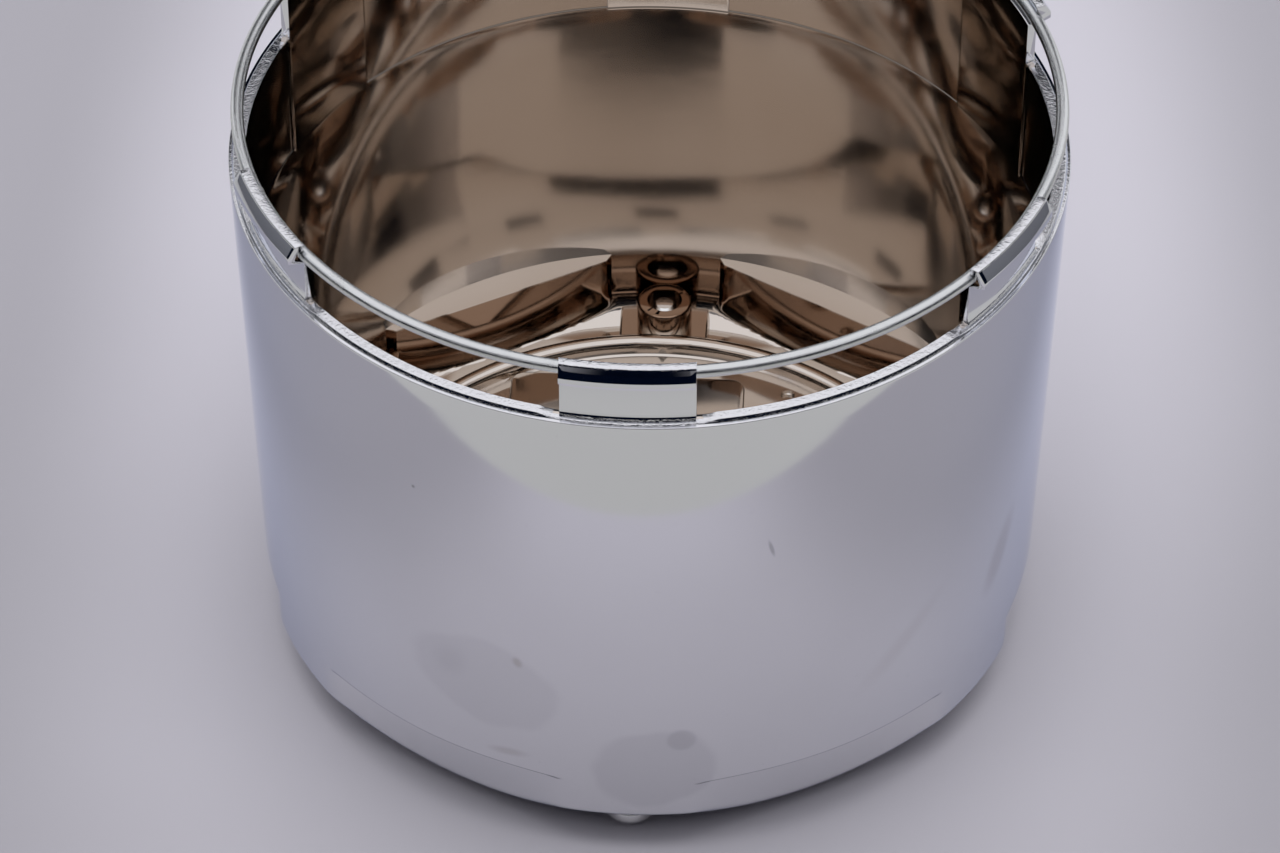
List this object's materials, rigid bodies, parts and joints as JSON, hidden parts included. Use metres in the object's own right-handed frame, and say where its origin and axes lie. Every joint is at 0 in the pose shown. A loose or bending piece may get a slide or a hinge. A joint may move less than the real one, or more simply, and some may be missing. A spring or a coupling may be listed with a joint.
{
  "type": "wheel center cap",
  "caption": "Tall snap-in wheel center cap: plated one-piece cup with snap tabs, a spring wire ring behind them and domed bolts in a six-sided front.",
  "frame": {"origin": "middle of the footprint, on the surface that the six bolt heads stand on", "axes": "+Z along the cap's axis, from the front face up to the open back; one snap tab faces -Y"},
  "size_m": [0.13, 0.132, 0.1037],
  "materials": {
    "plated_plastic": "bright chrome plating over moulded plastic, with faint smudges and fine moulding lines",
    "spring_wire": "bright drawn and plated spring wire",
    "bolt_plating": "bright plated dome"
  },
  "bodies": {
    "root": {"cap_shell": "plated_plastic", "retaining_ring": "spring_wire", "bolt_1": "bolt_plating", "bolt_2": "bolt_plating", "bolt_3": "bolt_plating", "bolt_4": "bolt_plating", "bolt_5": "bolt_plating", "bolt_6": "bolt_plating"}
  },
  "joints": []
}
